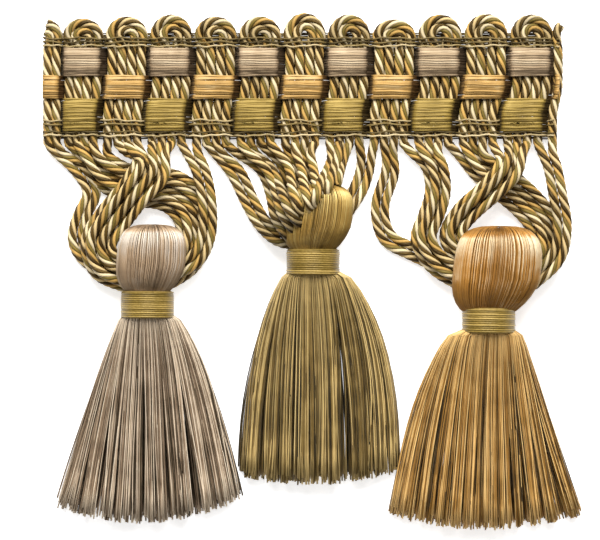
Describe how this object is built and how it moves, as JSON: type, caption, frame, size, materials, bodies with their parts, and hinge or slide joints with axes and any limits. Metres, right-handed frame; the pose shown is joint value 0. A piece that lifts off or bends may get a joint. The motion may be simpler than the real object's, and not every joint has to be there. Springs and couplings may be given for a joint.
{
  "type": "tassel fringe trim",
  "caption": "Cut length of tassel fringe: a basket-woven heading with scalloped cord loops, twisted cords hanging from it and flared floss tassels with ball heads.",
  "frame": {"origin": "under the middle of the whole piece, on the surface that it lies on", "axes": "+X along the heading to the right, +Y up the piece from the skirts to the scallops, +Z out of the face"},
  "size_m": [0.1082, 0.1019, 0.0133],
  "materials": {
    "twisted_cord": "twisted rayon cord of six yarns, satin",
    "taupe_floss": "rayon floss, satin",
    "gold_floss": "rayon floss, satin",
    "olive_floss": "rayon floss, satin",
    "binding_thread": "fine sewing thread, matt",
    "neck_thread": "wound rayon thread, satin"
  },
  "bodies": {
    "root": {"cords": "twisted_cord", "band_taupe": "taupe_floss", "band_gold": "gold_floss", "band_olive": "olive_floss", "binding_top": "binding_thread", "tassel_left": "taupe_floss", "neck_left": "neck_thread", "tassel_middle": "olive_floss", "neck_middle": "neck_thread", "tassel_right": "gold_floss", "neck_right": "neck_thread"}
  },
  "joints": []
}
